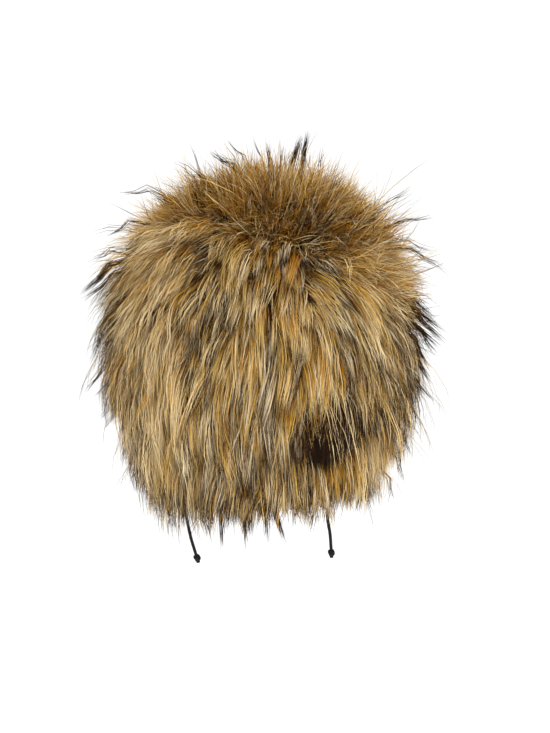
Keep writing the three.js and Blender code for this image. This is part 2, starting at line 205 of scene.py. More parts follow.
def smooth_step(share):
    """0 below 0, 1 above 1, and a smooth cubic between."""
    share = np.clip(share, 0, 1)
    return share**2 * (3 - 2 * share)


def hem_drop(turn):
    """The hem's drop: low at the ears, higher over the neck, rounded up at each front corner, in smooth
    steps by the angle from the middle of the back."""
    back = np.abs(np.degrees(turn) % 360 - 180)
    return NAPE + (EAR - NAPE) * smooth_step((back - 30) / 50) - CORNER_ROUND * smooth_step((back - 96) / 22)


def patches(points, size, seed):
    """A smooth field over space from -1 to 1: the sum of a few sine waves in fixed chance directions."""
    waves = np.random.default_rng(seed)
    field = np.zeros(len(points))
    for _ in range(7):
        way = unit(waves.normal(size=3)) * 2 * math.pi / (size * waves.uniform(0.7, 1.5))
        field += np.sin(points @ way + waves.uniform(0, 7))
    return np.clip(field / 3, -1, 1)


# The hair parts along a bent line across the top and lies away from it all round.
# A cowlick lower down on the back spreads the hair just below it.
PARTING = np.array([
    # start, end
    [[-0.055, 0.045, -0.031], [0.000, 0.030, -0.003]],
    [[0.000, 0.030, -0.003], [0.056, 0.020, -0.023]],
])
COWLICK, COWLICK_REACH = np.array([0.020, -0.076, -0.030]), 0.024
# The short fur lies above a slanting plane, given by its normal and its distance.
TOP_PLANE, TOP_PLANE_LIES = np.array([0.38, 0.495, 0.845]), -0.0385
BACK_LIE = np.array([0.05, -0.5, -1.0]) * 1.1
TO_THE_RIGHT = np.array([1.0, 0, 0])


def parting_offset(points):
    """From the nearest point of the parting's two straight stretches: the offset, and its length."""
    nearest, shortest = np.zeros_like(points), np.full(len(points), np.inf)
    for start, end in PARTING:
        share = np.clip((points - start) @ (end - start) / ((end - start) @ (end - start)), 0, 1)
        offset = points - start - share[:, None] * (end - start)
        far = np.linalg.norm(offset, axis=1)
        nearest = np.where((far < shortest)[:, None], offset, nearest)
        shortest = np.minimum(far, shortest)
    return nearest, shortest


def near_parting(points, reach):
    """1 on the parting, falling smoothly to 0 at a reach from it."""
    return smooth_step(1 - parting_offset(points)[1] / reach)


def short_fur(points):
    """1 on the crown's top, where short fur stands on end, falling in smooth steps to 0 below a slanting
    plane and towards the front."""
    over = smooth_step((points @ TOP_PLANE - TOP_PLANE_LIES + 0.005) / 0.018)
    return over * (1 - smooth_step((points[:, 1] - 0.045) / 0.035))


def turned(flow, normal, angle):
    """The flow turned about the normal."""
    return flow * np.cos(angle)[:, None] + np.cross(normal, flow) * np.sin(angle)[:, None]


def hair_flow(points, normal, down):
    """The unit way of the hair along the cloth: the sum of a pull away from the parting, a pull away from
    the cowlick and a pull down, with on the back one more straight down and outwards to each side. It is
    then turned in slow waves, the short fur the most."""
    offset, far = parting_offset(points)
    away = 0.8 * offset / np.maximum(far, 1e-6)[:, None]
    apart = points - COWLICK
    near = np.exp(-(np.linalg.norm(apart, axis=1, keepdims=True) / COWLICK_REACH) ** 2)
    away = away + 1.3 * unit(apart) * near
    back = smooth_step((0.02 - points[:, 1]) / 0.07)[:, None]
    right, left = smooth_step((points[:, :1] - 0.012) / 0.045), smooth_step((-points[:, :1] - 0.045) / 0.04)
    away = away + back * (BACK_LIE + TO_THE_RIGHT * (1.1 * right - 0.35 * left))
    away = away - normal * np.sum(away * normal, axis=1)[:, None]
    flow = unit(away + down * np.clip(far / 0.025, 0.1, 1.6)[:, None])
    return turned(flow, normal, (0.16 + 0.6 * short_fur(points)) * patches(points, 0.05, 9))


def bent_over(normal, flow, length, first, last, steps):
    """Offsets along a hair whose lean from the normal grows evenly from first to last, in closed form."""
    share = np.asarray(steps)[None, :]
    lean = first[:, None] + (last - first)[:, None] * share
    rate = (last - first)[:, None]
    out = (np.sin(lean) - np.sin(first)[:, None]) / rate
    along = (np.cos(first)[:, None] - np.cos(lean)) / rate
    return length[:, None, None] * (out[..., None] * normal[:, None, :] + along[..., None] * flow[:, None, :])


def grow(roots, normal, flow, length, first, last, wild, coat):
    """Hairs in wisps in locks, from bent_over. Each lock has a curve, its wisps' curves are drawn to it
    towards the tip by the coat's gather, and the hairs stand about their wisp's curve, closer at the tip
    than at the root."""
    locks, steps = len(roots), coat["steps"]
    wild = wild * coat["wild"]
    flow = turned(flow, normal, rng.normal(0, 1, locks) * 0.10 * wild)
    length = length * rng.uniform(0.85, 1.15, locks)
    first = first + rng.normal(0, 1, locks) * 0.08 * wild
    last = last + rng.normal(0, 1, locks) * 0.08 * wild
    lock = np.repeat(np.arange(locks), coat["wisps"])
    side = np.cross(normal, flow)
    place = rng.uniform(-1, 1, (len(lock), 2)) * coat["spread"]
    wisp_root = roots[lock] + place[:, :1] * side[lock] + place[:, 1:] * flow[lock]
    wisp_flow = turned(flow[lock], normal[lock], rng.normal(0, 1, len(lock)) * 0.09 * wild[lock])
    wisp_length = length[lock] * rng.uniform(0.75, 1.12, len(lock))
    wisp_first = first[lock] + rng.normal(0, 1, len(lock)) * 0.10 * wild[lock]
    wisp_last = last[lock] + rng.normal(0, 1, len(lock)) * 0.12 * wild[lock]
    lock_path = bent_over(normal, flow, length, first, last, steps)
    path = bent_over(normal[lock], wisp_flow, wisp_length, wisp_first, wisp_last, steps)
    tip = (steps**2)[None, :, None]
    path = path + coat["gather"] * tip * (lock_path[lock] - path - (wisp_root - roots[lock])[:, None, :])
    wisp = np.repeat(np.arange(len(lock)), coat["hairs"])
    off = rng.normal(0, 0.0022, (len(wisp), 2))
    off = off[:, :1] * side[lock][wisp] + off[:, 1:] * flow[lock][wisp]
    stretch = rng.uniform(0.72, 1.08, len(wisp))[:, None, None]
    stray = rng.normal(0, 0.0015, (len(wisp), 1, 3)) * wild[lock][wisp][:, None, None] * tip
    hair = path[wisp] * stretch + off[:, None, :] * (1 - 0.6 * tip) + stray
    return wisp_root[wisp][:, None, :] + hair, normal[lock][wisp], wisp


# A coat of hair: the wisps in a lock, the hairs in a wisp, how wide a lock spreads at its roots, how far
# its wisps gather at the tip, how unruly it is, and the shares of its length at which a ribbon bends.
SHORT_HAIR_BENDS = np.array([0.15, 0.55, 0.82, 1.0])
LONG_HAIR_BENDS = np.array([0.1, 0.36, 0.6, 0.8, 1.0])
UNDERFUR = dict(wisps=12, hairs=7, spread=0.0075, gather=0.25, wild=1.0, steps=SHORT_HAIR_BENDS)
GUARD = dict(wisps=9, hairs=7, spread=0.0090, gather=0.48, wild=0.7, steps=LONG_HAIR_BENDS)
FUZZ = dict(wisps=10, hairs=7, spread=0.0085, gather=0.1, wild=1.9, steps=SHORT_HAIR_BENDS)
TUFT = dict(wisps=2, hairs=8, spread=0.0035, gather=0.8, wild=1.0, steps=LONG_HAIR_BENDS)
STRAY = dict(wisps=1, hairs=4, spread=0.0100, gather=0.0, wild=2.0, steps=LONG_HAIR_BENDS)
SHADES = 256


def hair_mesh(name, hair, normal, shade, width, steps, material):
    """Ribbons along hairs, that narrow by the square of the way to the tip and end in a point, each turned
    about itself by chance. The map's u is the hair's shade and its v runs from root to tip."""
    count, points = hair.shape[:2]
    ahead = unit(np.gradient(hair, axis=1))
    flat = unit(np.cross(ahead, normal[:, None, :]))
    roll = rng.uniform(-1.0, 1.0, count)[:, None, None]
    across = flat * np.cos(roll) + np.cross(ahead, flat) * np.sin(roll)
    widths = 0.5 * width[:, None] * (1 - 0.55 * steps[None, :] ** 2)
    left, right = hair - across * widths[..., None], hair + across * widths[..., None]
    edges = np.stack([left, right], axis=2)[:, :-1].reshape(count, -1, 3)
    vertices = np.concatenate([edges, hair[:, -1:]], axis=1)
    each = vertices.shape[1]
    quad = np.arange(points - 2)[:, None] * 2 + np.array([[0, 1, 3, 2]])
    tip = np.array([[each - 3, each - 2, each - 1]])
    triangles = np.concatenate([quad[:, [0, 1, 2]], quad[:, [0, 2, 3]], tip])
    faces = (np.arange(count)[:, None, None] * each + triangles[None]).reshape(-1, 3)
    made = add_mesh(name, vertices.reshape(-1, 3), faces, material)
    u = (shade[:, None] + 0.5 + np.array([-0.3, 0.3])[None, :]) / SHADES
    v = 0.01 + 0.98 * (steps - steps[0]) / (1 - steps[0])
    uv = np.empty((count, each, 2))
    uv[:, 0:-1:2, 0], uv[:, 1:-1:2, 0], uv[:, -1, 0] = u[:, :1], u[:, 1:], u.mean(axis=1)
    uv[:, 0:-1:2, 1], uv[:, 1:-1:2, 1], uv[:, -1, 1] = v[:-1], v[:-1], v[-1]
    layer = made.data.uv_layers.new(name="OFBake")
    layer.uv.foreach_set("vector", uv.reshape(-1, 2)[faces.ravel()].astype(np.float32).ravel())
    return made


def ramp(nodes, stops):
    """A colour ramp node with the given places and colours."""
    made = nodes.new("ShaderNodeValToRGB")
    elements = made.color_ramp.elements
    while len(elements) < len(stops):
        elements.new(0.5)
    for element, (at, colour) in zip(elements, stops):
        element.position = at
        element.color = (*colour, 1)
    return made


# The shades run over the map's u in six bands, each with its start and its colours from root to tip. Frosted
# hair has a pale band below a black tip, and the tipped hair is golden with a black tip.
RUSSET, CREAM, FROSTED, TIPPED, DARK = 0.30, 0.46, 0.60, 0.78, 0.90
golden_hair = (
    (0, (0.13, 0.045, 0.006)), (0.3, (0.36, 0.175, 0.035)),
    (0.65, (0.54, 0.345, 0.120)), (1, (0.61, 0.45, 0.21)),
)
russet_hair = (
    (0, (0.065, 0.018, 0.002)), (0.4, (0.23, 0.083, 0.011)),
    (0.75, (0.37, 0.18, 0.038)), (1, (0.45, 0.27, 0.085)),
)
cream_hair = (
    (0, (0.17, 0.078, 0.017)), (0.35, (0.46, 0.30, 0.12)),
    (0.7, (0.65, 0.50, 0.275)), (1, (0.69, 0.56, 0.345)),
)
frosted_hair = (
    (0, (0.08, 0.031, 0.006)), (0.3, (0.33, 0.185, 0.060)), (0.55, (0.62, 0.515, 0.34)),
    (0.72, (0.30, 0.235, 0.16)), (0.84, (0.045, 0.028, 0.016)), (1, (0.012, 0.009, 0.008)),
)
tipped_hair = (
    (0, (0.08, 0.030, 0.005)), (0.35, (0.34, 0.17, 0.038)), (0.58, (0.43, 0.26, 0.09)),
    (0.75, (0.060, 0.028, 0.009)), (1, (0.009, 0.007, 0.007)),
)
dark_hair = ((0, (0.008, 0.003, 0.0005)), (0.5, (0.034, 0.012, 0.003)), (1, (0.010, 0.007, 0.005)))
pile, shader, nodes, links = new_material("faux fur pile", 0.6)
shader.inputs["Specular IOR Level"].default_value = 0.06
place = nodes.new("ShaderNodeTexCoord")
split = nodes.new("ShaderNodeSeparateXYZ")
links.new(place.outputs["UV"], split.inputs[0])
first_band = ramp(nodes, golden_hair)
links.new(split.outputs["Y"], first_band.inputs["Fac"])
colour = first_band.outputs["Color"]
for start, stops in (
    (RUSSET, russet_hair),
    (CREAM, cream_hair),
    (FROSTED, frosted_hair),
    (TIPPED, tipped_hair),
    (DARK, dark_hair),
):
    along = ramp(nodes, stops)
    links.new(split.outputs["Y"], along.inputs["Fac"])
    past = nodes.new("ShaderNodeMath")
    past.operation = "GREATER_THAN"
    past.inputs[1].default_value = start
    links.new(split.outputs["X"], past.inputs[0])
    mixed = nodes.new("ShaderNodeMix")
    mixed.data_type = "RGBA"
    links.new(past.outputs[0], mixed.inputs["Factor"])
    links.new(colour, mixed.inputs["A"])
    links.new(along.outputs["Color"], mixed.inputs["B"])
    colour = mixed.outputs["Result"]
# Tones: eight neighbouring shades, as in a wisp, share a saturation and a value, and each has a value more.
tone = nodes.new("ShaderNodeHueSaturation")
links.new(colour, tone.inputs["Color"])
values = []
for step, socket, least, most in (
    (8, "Saturation", 0.95, 1.18),
    (8, None, 0.93, 1.07),
    (1, None, 0.97, 1.03),
):
    steps_of = nodes.new("ShaderNodeMath")
    steps_of.operation = "SNAP"
    steps_of.inputs[1].default_value = step / SHADES
    chance = nodes.new("ShaderNodeTexWhiteNoise")
    chance.noise_dimensions = "2D" if socket else "1D"
    spread_of = nodes.new("ShaderNodeMapRange")
    spread_of.inputs["To Min"].default_value = least
    spread_of.inputs["To Max"].default_value = most
    links.new(split.outputs["X"], steps_of.inputs[0])
    links.new(steps_of.outputs[0], chance.inputs["Vector" if socket else "W"])
    links.new(chance.outputs["Value"], spread_of.inputs["Value"])
    if socket:
        links.new(spread_of.outputs[0], tone.inputs[socket])
    else:
        values.append(spread_of.outputs[0])
value = nodes.new("ShaderNodeMath")
value.operation = "MULTIPLY"
links.new(values[0], value.inputs[0])
links.new(values[1], value.inputs[1])
links.new(value.outputs[0], tone.inputs["Value"])
links.new(tone.outputs["Color"], shader.inputs["Base Color"])
OWN_KIND = 1 / 10
SHADE_STEPS = 3


def shades_for(wisp, russet, cream, frosted, tipped, dark):
    """A shade for each hair: its wisp's kind by the chances of each kind, or in one hair of ten its own kind,
    and within the kind a few steps up or down from the wisp's shade."""
    bands = np.array([0, RUSSET, CREAM, FROSTED, TIPPED, DARK, 1]) * SHADES
    edges = np.cumsum(np.stack([dark, tipped, frosted, cream, russet], axis=1), axis=1)
    own = rng.uniform(0, 1, len(wisp)) < OWN_KIND
    kind = np.where(own, rng.uniform(0, 1, len(wisp)), rng.uniform(0, 1, len(dark))[wisp])
    which = 5 - (kind[:, None] > edges[wisp]).sum(axis=1)
    low, high = np.ceil(bands[which]) + 1, np.floor(bands[which + 1]) - 2
    shade = low + (high - low) * rng.uniform(0, 1, len(dark))[wisp]
    return np.floor(np.clip(shade + rng.uniform(-SHADE_STEPS, SHADE_STEPS, len(wisp)), low, high))


def in_photo(points):
    """Where points lie in the photo, in its pixels, by the camera's own angle."""
    rise = (points[:, 2] - WIDEST_Z) * math.cos(LOOK_DOWN) + points[:, 1] * math.sin(LOOK_DOWN)
    return WIDEST_PX + points[:, 0] / PIXEL, WIDEST_PY - rise / PIXEL


CAMERA_SIDE_Y = 0.05


def spot(points, x, y, wide, high, lean=0.0):
    """1 in the middle of a soft oval patch on the side towards the camera, given in the photo's pixels."""
    px, py = in_photo(points)
    dx, dy = px - x, py - y
    a = (dx * math.cos(lean) + dy * math.sin(lean)) / wide
    b = (-dx * math.sin(lean) + dy * math.cos(lean)) / high
    return np.exp(-(a**2 + b**2)) * (points[:, 1] < CAMERA_SIDE_Y)


# Marks are soft ovals in the photo's pixels: x, y, half width, half height, and a lean if there is one.
FROSTED_STREAKS = (
    (200, 345, 7, 50), (214, 398, 6, 34), (193, 402, 7, 40, 0.2), (240, 400, 6, 34), (268, 388, 7, 42),
    (296, 392, 6, 44), (236, 462, 5, 34), (310, 478, 6, 24), (226, 316, 9, 24), (200, 290, 7, 18),
    (144, 362, 8, 42), (144, 450, 5, 36), (372, 360, 6, 46, -0.7), (321, 280, 7, 40, -0.3),
    (338, 312, 9, 55, -0.2), (258, 455, 14, 34), (345, 402, 8, 38), (190, 448, 7, 34), (218, 462, 7, 30),
    (290, 462, 7, 26),
)
GOLDEN_STREAKS = (
    (170, 385, 17, 60), (307, 342, 18, 44), (378, 290, 30, 50), (155, 225, 34, 34), (300, 175, 60, 20),
    (390, 235, 34, 34), (225, 425, 9, 40), (255, 395, 6, 40),
)
WHORL = (
    (222, 206, 44, 18, 0.15), (292, 224, 50, 22, 0.25), (350, 234, 28, 16), (282, 266, 30, 13),
    (303, 288, 9, 16),
)
THIN_EDGES = (
    (113, 444, 20, 22), (427, 418, 20, 24), (394, 488, 26, 18), (102, 268, 18, 26), (92, 396, 14, 24),
)
# A light place has its strength first.
LIGHT_TIPS = ((1, 378, 478, 34, 26), (0.8, 305, 172, 56, 20), (0.4, 205, 190, 36, 20))
LIGHT_BODIES = (
    (1.1, 380, 275, 32, 44), (1.15, 165, 375, 28, 68), (0.8, 165, 450, 34, 40), (0.2, 308, 330, 20, 50),
    (1.4, 142, 232, 36, 48), (0.5, 138, 310, 22, 50),
)


def streaks(bodies):
    """0 to 1.3 in long narrow frosted streaks down the hat: a smooth field that is stretched downwards, plus
    marked streaks, less the golden ones."""
    marked = sum(spot(bodies, *mark) for mark in FROSTED_STREAKS)
    golden = sum(spot(bodies, *mark) for mark in GOLDEN_STREAKS)
    field = np.clip(1.3 * patches(bodies * np.array([1, 1, 0.3]), 0.035, 3), 0, 1)
    return np.clip(0.55 * field + 1.2 * marked - 0.8 * golden, 0, 1.3)


def painted_fringe_shadow(points):
    """Painted shadow: the dark patch at the lower right where the crown's fringe parts, and the seam of shade
    that runs up from it along the fringe's edge.
    """
    return 1.35 * spot(points, 324, 450, 18, 17) + 0.95 * spot(points, 374, 426, 42, 10, -0.5)


def pile_marks(tips, bodies):
    """Soft places of colour from 0 to 1, as sums of ovals: the whorl, the painted shadow under the crown's
    fringe with its seam, the dark rims, and the light places."""
    whorl = sum(spot(bodies, *mark) for mark in WHORL)
    # Painted shadow under the crown's fringe: strongest where both a hair's tip and its body lie in it.
    fringe_shadow = 1.5 * np.sqrt(painted_fringe_shadow(tips) * painted_fringe_shadow(bodies))
    rim = 1.3 * spot(tips, 94, 370, 24, 100) + 1.4 * spot(tips, 430, 350, 30, 74)
    light = sum(strength * spot(tips, *oval) for strength, *oval in LIGHT_TIPS)
    light = light + sum(strength * spot(bodies, *oval) for strength, *oval in LIGHT_BODIES)
    return np.clip(whorl, 0, 1), np.clip(fringe_shadow, 0, 1), np.clip(rim, 0, 1), np.clip(light, 0, 1)


def underfur_chances(tips, bodies):
    """The chances of russet, cream, frosted, black-tipped and dark underfur."""
    whorl, fringe_shadow, rim, light = pile_marks(tips, bodies)
    top = short_fur(bodies)
    russet = (0.20 + 0.50 * whorl) * (1 - 0.5 * light) + 0.08 * top
    cream = (0.12 + 0.4 * light) * (1 - 0.55 * top)
    # Dark underfur takes the place of russet to paint the shadow under the crown's fringe.
    return russet * (1 - fringe_shadow), cream, 0.03 + 0.15 * rim, 0.03 + 0.2 * rim, 0.03 + 1.3 * fringe_shadow + 0.22 * whorl


def guard_chances(tips, bodies):
    """The chances of russet, cream, frosted, black-tipped and dark guard hair, tipped most below the hem."""
    whorl, fringe_shadow, rim, light = pile_marks(tips, bodies)
    top, streak = short_fur(bodies), streaks(bodies)
    drop = hem_drop(np.arctan2(tips[:, 0], tips[:, 1]))
    fringe = np.clip((-tips[:, 2] - drop - 0.010) / 0.020, 0, 1)
    russet = (0.13 + 0.45 * whorl) * (1 - 0.6 * light) + 0.10 * top
    cream = (0.20 + 0.45 * light) * (1 - 0.55 * top)
    frosted = (0.03 + 0.62 * streak) * (1 - 0.8 * light) + 0.38 * rim + 0.15 * fringe + 0.15 * whorl
    # Black-tipped and dark guard hair paint the shadow under the crown's fringe and its seam.
    tipped = 0.06 * (1 - 0.8 * light) + 0.35 * rim + 0.45 * fringe + 0.7 * painted_fringe_shadow(tips)
    dark = 0.02 + 1.3 * fringe_shadow + 0.24 * whorl + 0.20 * streak + 0.16 * rim
    return russet * (1 - fringe_shadow), cream, frosted * (1 - fringe_shadow) * (1 - 0.5 * top), tipped * (1 - fringe_shadow), dark


def tuft_chances(tips, bodies):
    """The chances of russet, cream, frosted, black-tipped and dark tufts, tipped most at the rims."""
    whorl, fringe_shadow, rim, light = pile_marks(tips, bodies)
    plain = 1 - 0.8 * np.clip(light + 0.5 * whorl, 0, 1)
    # Dark tufts paint the shadow under the crown's fringe.
    return 0.0 * rim, 0.22 + 0.2 * light, 0.26 * plain, 0.30 * plain + 0.4 * rim, 0.04 + 1.2 * fringe_shadow


def stray_chances(tips, bodies):
    """The chances of russet, cream, frosted, black-tipped and dark stray hair: mostly dark at the tip."""
    every = np.ones(len(tips))
    return 0.0 * every, 0.08 * every, 0.25 * every, 0.42 * every, 0.20 * every


def rows_of_locks(levels, spacing, level_at, keep):
    """Roots in rings round the head, a spacing apart along each ring, moved by chance up to a third of the
    way to the next. The rings lie at shares of the way down, which level_at turns into levels."""
    turns, shares = [], []
    once_round = np.linspace(0, 2 * math.pi, 60)
    for i, share in enumerate(levels):
        ring = head_point(once_round, level_at(once_round, share), CLOTH)
        girth = np.linalg.norm(np.diff(ring, axis=0), axis=1).sum()
        count = max(int(girth / spacing), 3)
        place = np.arange(count) + 0.5 * (i % 2) + rng.uniform(-0.35, 0.35, count)
        turns.append(place / count * 2 * math.pi)
        shares.append(share + rng.uniform(-0.35, 0.35, count) * (levels[1] - levels[0]))
    turn, share = np.concatenate(turns), np.concatenate(shares)
    level = level_at(turn, share)
    root = head_point(turn, level, CLOTH)
    kept = keep(root)
    return turn[kept], level[kept], root[kept]


# No hair ends outside this box.
FARTHEST = np.array([[-0.143, -0.164, -0.262], [0.143, 0.168, 0.067]])


def lay_pile(name, stands_for, root, normal, flow, length, first, last, wild, coat, chances, width):
    """Grows one piece of pile from its locks' roots and puts it on the hat in place of the plain solid.
    Hairs that cross the painted shadow under the crown's fringe are left out, and so by chance are those
    whose tips lie at the thin edges."""
    hair, hair_normal, wisp = grow(root, normal, flow, length, first, last, wild, coat)
    start = np.unique(wisp, return_index=True)[1]
    shade = shades_for(wisp, *np.broadcast_arrays(*chances(hair[start, -1], hair[start, -2])))
    # Hairs that cross the painted shadow under the crown's fringe are left out, leaving a real gap there.
    crossing = np.maximum(painted_fringe_shadow(hair[:, -3]), painted_fringe_shadow(hair[:, -2])) * (painted_fringe_shadow(hair[:, -1]) < 0.3)
    over = crossing > rng.uniform(0.15, 0.65, len(hair))
    sparse = sum(spot(hair[:, -1], *mark) for mark in THIN_EDGES) > rng.uniform(0.2, 0.9, len(hair))
    inside = np.all((hair[:, -1] > FARTHEST[0]) & (hair[:, -1] < FARTHEST[1]), axis=1)
    kept = inside & ~over & ~sparse
    hair, shade = hair[kept], shade[kept]
    wide = rng.uniform(*width, len(hair))
    made = hair_mesh(name, hair, hair_normal[kept], shade, wide, coat["steps"], pile)
    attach(made, "root")
    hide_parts(stands_for)


# Crown pile: the dome's hair, in an upper and a lower half, golden with cream and dark streaks.
# It stands up and shows its dark roots along the parting, and its lower edge hangs over the flaps.
SEAM_LEVEL = float(level_of(BROW))
VISOR_HALF, VISOR_TOP_Z = 0.061, -0.044
# The height at which the crown's hair is split in an upper and a lower piece.
SPLIT_Z = -0.035
# The widths of hairs at the root, in metres, from the least to the most.
NARROW, MEDIUM, COARSE, BROAD = (0.0004, 0.0007), (0.0004, 0.0008), (0.0005, 0.0008), (0.0005, 0.0009)


def crown_level(turn, share):
    """Even steps of level, from the top of the dome at 0 to the seam at 1."""
    return 1 + (SEAM_LEVEL - 1) * np.clip(share, 0.0, 0.995)


def open_crown(points):
    """True except where the turned-up visor stands in front of the crown."""
    return (np.abs(points[:, 0]) > VISOR_HALF - 0.004) | (points[:, 1] < 0) | (points[:, 2] > VISOR_TOP_Z)


def trim(root):
    """The share of its length that hair keeps: less over the ears' hems, most of all the right one's, and
    over two soft bands of the neck's."""
    x, back = root[:, 0], root[:, 1] < 0
    low = np.clip((-root[:, 2] - 0.150) / 0.02, 0, 1)
    right, left = np.clip((x - 0.03) / 0.02, 0, 1), np.clip((-x - 0.04) / 0.02, 0, 1)
    right = right * (1 - 0.4 * np.clip((x - 0.055) / 0.02, 0, 1))
    middle, neck = np.exp(-((x - 0.013) / 0.027) ** 2) * back, np.exp(-((x + 0.020) / 0.025) ** 2) * back
    return 1 - (0.36 * right + 0.08 * left + 0.34 * middle + 0.08 * neck) * low


def on_top(points):
    """True where short fur stands on end."""
    return short_fur(points) > 0.3


# Lengths are for long and for short fur. Leans are in radians from the normal, at the root and at the tip.
for layer, coat, rows, spacing, long, short, leans, chances, width, keep in (
    ("underfur", UNDERFUR, 17, 0.0105, 0.054, 0.040, (0.35, 1.35), underfur_chances, BROAD, open_crown),
    ("guard_hair", GUARD, 15, 0.0115, 0.081, 0.046, (0.20, 1.65), guard_chances, MEDIUM, open_crown),
    ("fuzz", FUZZ, 15, 0.0110, 0.046, 0.043, (0.30, 1.50), guard_chances, NARROW, on_top),
    ("tufts", TUFT, 13, 0.0165, 0.090, 0.050, (0.22, 1.50), tuft_chances, NARROW, open_crown),
    ("stray_hair", STRAY, 12, 0.0200, 0.088, 0.074, (0.15, 1.30), stray_chances, COARSE, open_crown),
):
    turn, level, root = rows_of_locks(np.linspace(0.03, 0.99, rows), spacing, crown_level, keep)
    normal, down = head_slope(turn, level)
    flow = hair_flow(root, normal, down)
    short_here = short_fur(root)
    low = np.clip((-root[:, 2] - 0.04) / 0.05, 0, 1)
    shoulder = np.exp(-((root[:, 2] + 0.040) / 0.028) ** 2) * (1 - short_here)
    crest = near_parting(root, 0.03)
    length = (long + (short - long) * short_here) * (1 - 0.06 * low) * (1 - 0.20 * shoulder) * trim(root)
    first = (leans[0] + 0.35 * short_here) * (1 - 0.8 * crest)
    last = leans[1] * (1 - 0.28 * short_here) * (1 - 0.5 * crest) + 0.10 * low
    wild = 1 + 3.0 * short_here
    upper = root[:, 2] > SPLIT_Z
    for name, part in (("upper_crown_" + layer, upper), ("lower_crown_" + layer, ~upper)):
        lay_pile(name, "crown_fur", root[part], normal[part], flow[part], length[part], first[part],
                 last[part], wild[part], coat, chances, width)


# Stray locks: thin bundles of the crown's and the flaps' longest hairs that stand out past the rest, black at
# the tip. Each is given by where it leaves the pile and where it ends, in the photo's pixels, and how far
# to the front both lie.
STRAY_LOCKS = (
    # out x, out y, tip x, tip y, front, hairs
    (234, 165, 208, 150, 0.030, 20), (203, 178, 180, 173, 0.020, 9), (243, 156, 225, 138, 0.040, 5),
    (262, 160, 250, 132, 0.045, 4), (270, 160, 266, 139, 0.045, 9), (281, 164, 284, 141, 0.045, 6),
    (291, 162, 302, 131, 0.050, 18), (303, 160, 308, 126, 0.052, 16), (300, 162, 304, 131, 0.050, 6),
    (320, 168, 322, 142, 0.045, 4), (152, 192, 116, 196, 0.000, 12), (132, 222, 107, 239, -0.010, 8),
    (112, 252, 90, 264, -0.015, 7), (113, 266, 79, 300, -0.020, 36), (118, 274, 80, 306, -0.020, 26),
    (109, 316, 88, 378, -0.020, 16), (104, 366, 82, 395, -0.020, 14), (120, 370, 90, 404, -0.030, 16),
    (120, 404, 101, 434, -0.030, 14), (112, 404, 96, 425, -0.025, 8), (128, 415, 120, 437, -0.040, 8),
    (134, 470, 137, 500, -0.040, 14), (388, 204, 415, 187, 0.010, 5), (402, 221, 436, 216, 0.000, 10),
    (408, 250, 450, 274, -0.010, 9), (405, 240, 444, 259, -0.010, 6), (406, 302, 447, 336, -0.020, 44),
    (412, 312, 446, 345, -0.020, 40), (414, 340, 429, 373, -0.030, 34), (418, 330, 436, 359, -0.025, 30),
    (404, 316, 441, 350, -0.030, 40), (410, 296, 438, 322, -0.010, 30), (414, 354, 432, 388, -0.030, 26),
    (414, 378, 434, 405, -0.025, 14), (398, 406, 418, 438, -0.035, 16), (402, 430, 413, 459, -0.035, 9),
    (398, 455, 405, 486, -0.035, 9), (208, 505, 212, 541, -0.095, 14), (222, 508, 224, 551, -0.100, 14),
    (245, 508, 247, 547, -0.105, 14), (266, 505, 268, 541, -0.105, 12), (271, 494, 286, 540, -0.112, 34),
    (304, 480, 316, 512, -0.112, 18), (388, 476, 392, 505, -0.050, 8),
)


def from_photo(x, y, front):
    """The points at given pixels of the photo that lie a given way to the front: in_photo turned round."""
    rise = (WIDEST_PY - y) * PIXEL - front * math.sin(LOOK_DOWN)
    return np.column_stack([(x - WIDEST_PX) * PIXEL, front, rise / math.cos(LOOK_DOWN) + WIDEST_Z])


def on_cloth(points):
    """The points drawn straight in to the cloth, towards the middle of the widest level, or below it towards
    the middle of their own level."""
    turn = np.arctan2(points[:, 0] / HALF_WIDTH, points[:, 1] / HALF_DEPTH)
    ring = np.hypot(points[:, 0] / HALF_WIDTH, points[:, 1] / HALF_DEPTH)
    up = (points[:, 2] - WIDEST_Z) / RISE
    above = (2 / math.pi) * np.arctan2(np.clip(up, 0, None) ** (FULLNESS / 2), ring ** (FULLNESS / 2))
    hem = level_of(hem_drop(turn) - 0.002)
    return head_point(turn, np.where(up > 0, above, np.maximum(up * RISE / (EAR - RISE), hem)), CLOTH)


def stray_locks(table, stands_for, name):
    """Bundles of hairs, each from the cloth through the place where its lock leaves the pile, and then nearly
    straight to the lock's tip, with a small chance offset at each of the three."""
    out_x, out_y, tip_x, tip_y, front, hairs = np.array(table, dtype=float).T
    out, tip = from_photo(out_x, out_y, front), from_photo(tip_x, tip_y, front)
    lock = np.repeat(np.arange(len(out)), hairs.astype(int))
    root = on_cloth(out)[lock] + rng.normal(0, 0.0012, (len(lock), 3))
    middle = out[lock] + rng.normal(0, 0.0015, (len(lock), 3))
    end = tip[lock] + rng.normal(0, 0.0015, (len(lock), 3))
    end = middle + (end - middle) * rng.uniform(0.68, 1.0, len(lock))[:, None]
    ahead = end - middle
    inside = 0.25 * root + 0.75 * (middle - 0.5 * ahead)
    hair = np.stack([root, inside, middle, middle + 0.5 * ahead + 0.04 * (root - end), end], axis=1)
    hair = np.clip(hair, FARTHEST[0], FARTHEST[1])
    shade = np.floor(rng.uniform((TIPPED + 0.07) * SHADES, SHADES - 2, len(lock)))
    normal = unit(out[lock] - np.array([0, 0, WIDEST_Z]))
    made = hair_mesh(name, hair, normal, shade, rng.uniform(0.0006, 0.0010, len(lock)), LONG_HAIR_BENDS, pile)
    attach(made, "root")
    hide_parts(stands_for)


